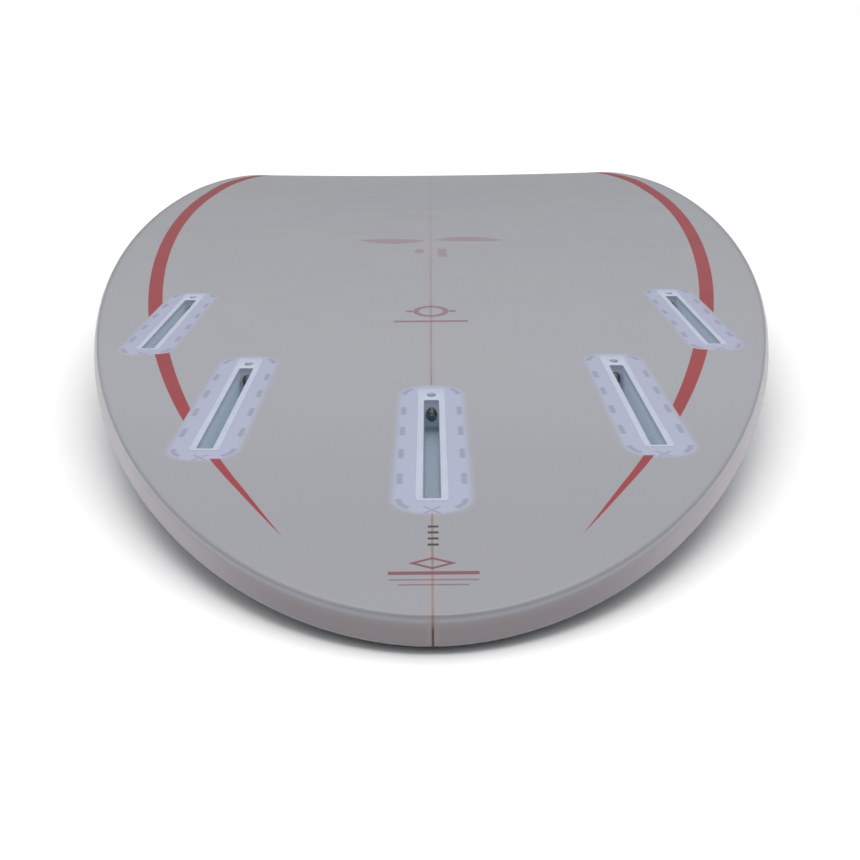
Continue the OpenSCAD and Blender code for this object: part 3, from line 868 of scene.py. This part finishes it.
def deck_skin(paint):
    rows = stations(SKIN_ROWS)
    outside = [deck_row(s, 0) for s in rows]
    inside = [deck_row(s, SKIN_T) for s in rows]
    piece = shell("deck_skin", outside, inside, DECK_COLS)
    holes = [stack("plug_cutter", [circle_ring(radius, z) for z in (-4, 4)], place)
             for radius, place in ((LEASH_R, LEASH_PLACE), (VENT_R, VENT_PLACE))]
    cut(piece, holes)
    store_board_values(piece.data)
    return finish_piece(piece, LAY, "board", paint, ["deck_laminate"])


# ---- Places on the board ----

def box_place_matrix(x, y, toe):
    """Fin box frame: z = 0 on the bottom, +Y towards the nose."""
    z = bottom_z(y) - concave(y) * (1 - (x / half_w(y)) ** 2)
    slope = math.atan((bottom_z(y + 1) - bottom_z(y - 1)) / 2)
    turn = Matrix.Rotation(slope, 4, "X") @ Matrix.Rotation(math.radians(toe), 4, "Z")
    return LAY @ Matrix.Translation((x, y, z)) @ turn


def deck_place_matrix(x, y):
    """Plug frame: z = 0 on the deck and +Z out of it."""
    along = math.atan((deck_z(x, y + 2) - deck_z(x, y - 2)) / 4)
    across = math.atan((deck_z(x + 2, y) - deck_z(x - 2, y)) / 4)
    turn = Matrix.Rotation(-across, 4, "Y") @ Matrix.Rotation(along + math.pi, 4, "X")
    return LAY @ Matrix.Translation((x, y, deck_z(x, y))) @ turn


BOX_PLACES = {
    "center": box_place_matrix(0, CENTER_Y, 0),
    "rear_left": box_place_matrix(-REAR_X, REAR_Y, -REAR_TOE),
    "rear_right": box_place_matrix(REAR_X, REAR_Y, REAR_TOE),
    "front_left": box_place_matrix(-FRONT_X, FRONT_Y, -FRONT_TOE),
    "front_right": box_place_matrix(FRONT_X, FRONT_Y, FRONT_TOE),
}
LEASH_R, VENT_R = 15.0, 11.0
PLUG_X, LEASH_Y, VENT_Y = 38, 88, 1600
LEASH_PLACE = deck_place_matrix(PLUG_X, LEASH_Y)
VENT_PLACE = deck_place_matrix(PLUG_X, VENT_Y)

# ---- Fin boxes and their grub screws ----

BOX_W, BOX_D = 14.0, 18.6
SLOT_W, SLOT_L, SLOT_D, SLOT_REAR_WALL = 6.8, 114.3, 14.8, 2.4
SLOT_FRONT = SLOT_L - RIM_L / 2 + SLOT_REAR_WALL
SLOT_MID = SLOT_FRONT - SLOT_L / 2
FLANGE_TOP, FLANGE_T = -1.5, 1.5
GRUB_R, GRUB_L, GRUB_BEVEL = 2.4, 8.0, 0.6
GRUB_START, KEY_HOLE_R, KEY_HOLE_D = 4.2, 2.1, 3.2
THREAD_PITCH, THREAD_DEPTH = 0.8, 0.34
SOCKET_AF, SOCKET_D = 2.4, 3.0
ACCESS_GAP, GRUB_TURN = 7.4, 135
BORE_Y = SLOT_FRONT + ACCESS_GAP
ALONG_GRUB = Matrix.Translation((0, BORE_Y, 0)) @ Matrix.Rotation(math.radians(GRUB_TURN), 4, "X")


def box_rings():
    """Rings up the outside of a box, over its flange and rim, and down into its slot."""
    low = FLANGE_TOP - FLANGE_T
    rings = [rounded_ring(BOX_W - 1, RIM_L - 1, RIM_R - 0.5, -BOX_D),
             rounded_ring(BOX_W, RIM_L, RIM_R, 0.5 - BOX_D),
             rounded_ring(BOX_W, RIM_L, RIM_R, low)]
    for in_by, z in ((0.3, low), (0, low + 0.3), (0, FLANGE_TOP - 0.3), (0.3, FLANGE_TOP)):
        rings.append(rounded_ring(FLANGE_W - 2 * in_by, FLANGE_L - 2 * in_by, FLANGE_R - in_by,
                                  z, -FLANGE_BACK, 6))
    for in_by, z in ((0, FLANGE_TOP), (0, -0.12), (0.04, -0.03), (0.12, 0)):
        rings.append(rounded_ring(RIM_W - 2 * in_by, RIM_L - 2 * in_by, RIM_R - in_by, z))
    for out_by, z in ((0.4, 0), (0.15, -0.08), (0.04, -0.22), (0, -0.45), (0, 1.2 - SLOT_D),
                      (-0.1, 0.7 - SLOT_D), (-0.35, 0.3 - SLOT_D), (-0.8, 0.05 - SLOT_D),
                      (-1.2, -SLOT_D)):
        rings.append(rounded_ring(SLOT_W + 2 * out_by, SLOT_L + 2 * out_by,
                                  max(0.2, 1 + out_by), z, SLOT_MID))
    return rings


def arc_ring(side, end, z):
    """A corner window's ring, concentric with the flange's corner."""
    cx = side * (FLANGE_W / 2 - FLANGE_R)
    cy = end * (FLANGE_L / 2 - FLANGE_R) - FLANGE_BACK
    outer = FLANGE_R - ARC_IN
    turn = [math.radians(ARC_SPAN * k / 8) for k in range(9)]
    path = [(outer, a) for a in turn] + [(outer - WINDOW_W, a) for a in reversed(turn)]
    return [Vector((cx + side * r * math.cos(a), cy + end * r * math.sin(a), z)) for r, a in path]


def window_cutters():
    """Prisms for the windows of a flange, in the box's own frame."""
    flat = Matrix.Identity(4)
    low, high = FLANGE_TOP - FLANGE_T - 0.2, FLANGE_TOP + 0.2
    cutters = []
    for side in (-1, 1):
        for k in range(4):
            at = Matrix.Translation((side * WINDOW_X, (k - 1.5) * WINDOW_PITCH - WINDOW_BACK, 0))
            rings = [rounded_ring(WINDOW_W, WINDOW_L, WINDOW_W / 2 - 0.01, z) for z in (low, high)]
            cutters.append(stack("window_cutter", rings, at))
        for end in (-1, 1):
            cutters.append(stack("arc_cutter", [arc_ring(side, end, z) for z in (low, high)], flat))
        crossed = Matrix.Rotation(side * math.pi / 4, 4, "Z")
        at = Matrix.Translation((0, -RIM_L / 2 - CROSS_BACK, 0)) @ crossed
        rings = [rounded_ring(CROSS_W, CROSS_L, CROSS_W / 2 - 0.01, z) for z in (low, high)]
        cutters.append(stack("slit_cutter", rings, at))
    return cutters


def bore_cutter():
    """Key hole, then the threaded bore with its grooves."""
    rings = [circle_ring(KEY_HOLE_R + 0.25, -4), circle_ring(KEY_HOLE_R, KEY_HOLE_D - 0.2)]
    bore = GRUB_R + 0.04
    rings.append(circle_ring(bore, KEY_HOLE_D))
    z = KEY_HOLE_D + 0.5
    while z < 15:
        rings += [circle_ring(bore, z), circle_ring(bore + 0.2, z + 0.35)]
        z += THREAD_PITCH
    rings.append(circle_ring(bore, 16))
    return stack("bore_cutter", rings, ALONG_GRUB)


def box_mesh():
    """One fin box in its own frame, in millimetres."""
    piece = stack("fin_box_master", box_rings(), Matrix.Identity(4))
    cut(piece, window_cutters() + [bore_cutter()])
    mesh = piece.data
    bpy.data.objects.remove(piece)
    return mesh


def fin_boxes(paint):
    master = box_mesh()
    for name, place in BOX_PLACES.items():
        mesh = master.copy()
        mesh.transform(place)
        piece = bpy.data.objects.new(f"fin_box_{name}_moulded", mesh)
        bpy.context.scene.collection.objects.link(piece)
        finish_piece(piece, place, "board", paint, [f"fin_box_{name}"], 28.0)


def polar_ring(radius_at, z, n):
    """A ring whose radius is a function of the angle."""
    turn = [2 * math.pi * k / n for k in range(n)]
    return [Vector((radius_at(a) * math.cos(a), radius_at(a) * math.sin(a), z)) for a in turn]


def hex_radius(angle):
    """Radius of a hexagon of unit size across its flats."""
    return 0.5 / math.cos(angle % (math.pi / 3) - math.pi / 6)


def thread_rings(radius, bevel, depth, pitch, low, high, n, step=0.1):
    """Rings along a screw thread that fades out over a bevel at both ends."""
    rings = []
    count = round((high - low) / step)
    for i in range(count + 1):
        z = low + (high - low) * i / count
        crest = radius - max(0.0, bevel - (z - low), bevel - (high - z))

        def radius_at(angle, z=z, crest=crest):
            phase = (z / pitch - angle / (2 * math.pi)) % 1
            groove = depth * max(0.0, 1 - abs(phase - 0.5) * 2.6)
            return min(crest, radius - groove)

        rings.append(polar_ring(radius_at, z, n))
    return rings


def grub_screws(paint):
    n = 36
    rings = [circle_ring(0.25, SOCKET_D + 0.5, n)]
    for size, z in ((SOCKET_AF, SOCKET_D), (SOCKET_AF, 0.18)):
        rings.append(polar_ring(lambda a, size=size: size * hex_radius(a), z, n))
    rings.append(circle_ring(SOCKET_AF * 0.62, 0, n))
    rings += thread_rings(GRUB_R, GRUB_BEVEL, THREAD_DEPTH, THREAD_PITCH, 0.0, GRUB_L, n)
    rings += [circle_ring(1.15, GRUB_L, n), circle_ring(0.9, GRUB_L - 0.1, n)]
    rings.append(circle_ring(0.2, GRUB_L - 0.7, n))
    for name, box in BOX_PLACES.items():
        place = box @ ALONG_GRUB @ Matrix.Translation((0, 0, GRUB_START))
        piece = stack(f"grub_screw_{name}", rings, place)
        finish_piece(piece, place, f"screw_{name}", paint, [f"fin_screw_{name}"])


# ---- Leash plug and vent ----

PIN_R, PIN_L, PIN_Z = 1.5, 25.6, -4.2
LIP_W, LIP_T = 1.5, 1.6
LEASH_D, LEASH_WALL, BOWL = 15.5, 2.4, 8.0
VENT_D, HEAD_R, HEAD_T, HEAD_Z = 13.0, 7.5, 2.6, -0.3
SHANK_R, SHANK_L, WIRE_R, RING_R = 4.95, 5.6, 0.9, 6.1
SEAT_Z = HEAD_Z - HEAD_T - 2 * WIRE_R


def plug_outside(radius, depth):
    """Rings up the outside of a plug and over its lip, with eased edges."""
    body = radius - LIP_W
    profile = [(body - 0.4, -depth), (body, 0.4 - depth), (body, -LIP_T), (radius, -LIP_T),
               (radius, -0.3), (radius - 0.08, -0.1), (radius - 0.3, 0)]
    return [circle_ring(r, z) for r, z in profile]


def rod_rings():
    ends = ((PIN_R - 0.3, 0), (PIN_R, 0.3), (PIN_R, PIN_L - 0.3), (PIN_R - 0.3, PIN_L))
    return [circle_ring(r, z - PIN_L / 2, 24) for r, z in ends]


def leash_plug(plastic, steel):
    hollow = LEASH_R - LIP_W - LEASH_WALL
    rings = plug_outside(LEASH_R, LEASH_D)
    rings += [circle_ring(hollow + 0.5, 0), circle_ring(hollow + 0.12, -0.15), circle_ring(hollow, -0.5)]
    for k in range(10):
        a = math.radians(9.8 * k)
        z = BOWL * (1 - math.sin(a)) - LEASH_D + LEASH_WALL
        rings.append(circle_ring(hollow * math.cos(a), z))
    rod = LEASH_PLACE @ Matrix.Translation((0, 0, PIN_Z)) @ Matrix.Rotation(math.pi / 2, 4, "Y")
    cup = stack("leash_cup_moulded", rings, LEASH_PLACE)
    cut(cup, [stack("rod_cutter", rod_rings(), rod)])
    finish_piece(cup, LEASH_PLACE, "board", plastic, ["leash_cup"])
    pin = stack("leash_pin_rod", rod_rings(), rod)
    finish_piece(pin, rod, "board", steel, ["leash_pin"])


def vent(plastic, steel, rubber):
    rings = plug_outside(VENT_R, VENT_D)
    bore = HEAD_R + 0.4
    for r, z in ((bore + 0.3, 0), (bore + 0.08, -0.1), (bore, -0.3), (bore, SEAT_Z),
                 (SHANK_R + 0.05, SEAT_Z), (SHANK_R + 0.05, SEAT_Z - SHANK_L - 0.4),
                 (0.8, SEAT_Z - SHANK_L - 0.4), (0.8, -VENT_D)):
        rings.append(circle_ring(r, z))
    housing = stack("vent_housing_moulded", rings, VENT_PLACE, closed=True)
    finish_piece(housing, VENT_PLACE, "board", plastic, ["vent_housing"])

    low = HEAD_Z - HEAD_T
    rings = [circle_ring(SHANK_R - 1.2, SEAT_Z - SHANK_L)]
    rings += thread_rings(SHANK_R, 0.6, 0.5, 1.25, SEAT_Z - SHANK_L, SEAT_Z, 48, 0.2)
    rings += [circle_ring(SHANK_R - 0.4, SEAT_Z + 0.2), circle_ring(SHANK_R - 0.4, low)]
    rings += [circle_ring(r, z) for r, z in ((HEAD_R - 0.3, low), (HEAD_R, low + 0.3),
              (HEAD_R, HEAD_Z - 0.5), (HEAD_R - 0.15, HEAD_Z - 0.15), (HEAD_R - 0.5, HEAD_Z))]
    screw = stack("vent_screw_turned", rings, VENT_PLACE)
    slot = [rounded_ring(2 * HEAD_R + 2, 1.8, 0.2, HEAD_Z + z) for z in (-1.3, 1.3)]
    cut(screw, [stack("coin_cutter", slot, VENT_PLACE)])
    finish_piece(screw, VENT_PLACE, "vent_plug", steel, ["vent_screw"])

    rings = []
    for k in range(64):
        a = 2 * math.pi * k / 64
        for_wire = [(2 * math.pi * j / 16) for j in range(16)]
        rings.append([Vector(((RING_R + WIRE_R * math.cos(b)) * math.cos(a),
                              (RING_R + WIRE_R * math.cos(b)) * math.sin(a),
                              SEAT_Z + WIRE_R + WIRE_R * math.sin(b))) for b in for_wire])
    seal = stack("vent_seal_ring", rings, VENT_PLACE, closed=True)
    finish_piece(seal, VENT_PLACE, "vent_plug", rubber, ["vent_oring"])


# ---- CAD nodes that keep their own shape ----

def paint_cad_nodes():
    foam, wood, glue, resin = foam_paint(), wood_paint(), glue_paint(), resin_paint()
    looks = {"foam_left": foam, "foam_right": foam, "stringer_left_ply": wood,
             "stringer_right_ply": wood, "stringer_glue_line": glue, "leash_bed": resin,
             "vent_bed": resin}
    looks.update({f"fin_bed_{name}": resin for name in BOX_PLACES})
    for name, look in looks.items():
        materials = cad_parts[name].data.materials
        materials.clear()
        materials.append(look)


# ---- Floor, light and camera ----

FLOOR_HALF = 40.0
FLOOR_DROP = 0.2
SKY_LOW, SKY_HIGH, SKY_TOP = 0.1, 0.72, 0.8
LAMP_POWER, LAMP_ANGLE, LAMP_TILT, LAMP_LEAN = 1.85, 70, -10, 1
EYE = (0.42, -329.3, 88.9)
EYE_PITCH, EYE_YAW, EYE_ROLL = 15.35, -0.13, -0.51
LENS, SENSOR = 49.2, 36.0


def floor():
    half = FLOOR_HALF
    square = ((-half, -half), (half, -half), (half, half), (-half, half))
    corners = [Vector((x, y, -MM * FLOOR_DROP)) for x, y in square]
    plane = add_mesh("floor", corners, [[0, 1, 2, 3]], Matrix.Identity(4))
    paint = Paint("floor_paper", 0.9, specular=0.0)
    mottle = paint.noise(paint.place(), 3.0, 2.0)
    paint.colour(paint.mix(mottle, linear(246, 246, 246), linear(249, 249, 249)))
    plane.data.materials.append(paint.material)


def lights():
    """A white backdrop whose light comes mostly from above, and one wide soft lamp."""
    world = bpy.data.worlds.new("studio")
    bpy.context.scene.world = world
    world.use_nodes = True
    tree = world.node_tree
    seen = tree.nodes.new("ShaderNodeLightPath")
    toward = tree.nodes.new("ShaderNodeTexCoord")
    parts = tree.nodes.new("ShaderNodeSeparateXYZ")
    tree.links.new(toward.outputs["Generated"], parts.inputs[0])
    sky = Field(tree, parts.outputs[2]).spread(0.0, SKY_TOP, SKY_LOW, SKY_HIGH)
    shown = sky.most(Field(tree, seen.outputs["Is Camera Ray"]))
    put(tree, tree.nodes["Background"].inputs["Color"], shown)
    sun = bpy.data.lights.new("soft_top", "SUN")
    sun.energy = LAMP_POWER
    sun.angle = math.radians(LAMP_ANGLE)
    lamp = bpy.data.objects.new("soft_top", sun)
    lamp.rotation_euler = (math.radians(LAMP_TILT), math.radians(LAMP_LEAN), 0)
    bpy.context.scene.collection.objects.link(lamp)


def camera():
    """Behind the tail and just above it, looking along the board."""
    eye = Vector(EYE)
    pitch, yaw, roll = [math.radians(a) for a in (EYE_PITCH, EYE_YAW, EYE_ROLL)]
    ahead = Vector((math.sin(yaw) * math.cos(pitch), math.cos(yaw) * math.cos(pitch), -math.sin(pitch)))
    right = Vector((math.cos(yaw), -math.sin(yaw), 0))
    up = right.cross(ahead)
    side = math.cos(roll) * right + math.sin(roll) * up
    top = math.cos(roll) * up - math.sin(roll) * right
    axes = Matrix((side, top, -ahead)).transposed()
    turn = Matrix.Rotation(TILT, 3, "X") @ axes
    lens = bpy.data.cameras.new("camera")
    lens.sensor_width = SENSOR
    lens.lens = LENS
    lens.clip_start = 0.02
    shot = bpy.data.objects.new("camera", lens)
    shot.matrix_world = Matrix.Translation(LAY @ eye) @ turn.to_4x4()
    bpy.context.scene.collection.objects.link(shot)
    bpy.context.scene.camera = shot


bottom_skin(bottom_skin_paint())
deck_skin(deck_skin_paint())
fin_boxes(box_paint())
grub_screws(steel_paint("grub_steel_dark", linear(150, 150, 145), linear(110, 106, 98), 0.34))
BRIGHT = steel_paint("bright_steel_turned", linear(196, 196, 198), linear(168, 166, 160), 0.24)
PLASTIC = plug_paint()
leash_plug(PLASTIC, BRIGHT)
vent(PLASTIC, BRIGHT, rubber_paint())
paint_cad_nodes()
floor()
lights()
camera()
bpy.context.scene.view_settings.view_transform = "Standard"
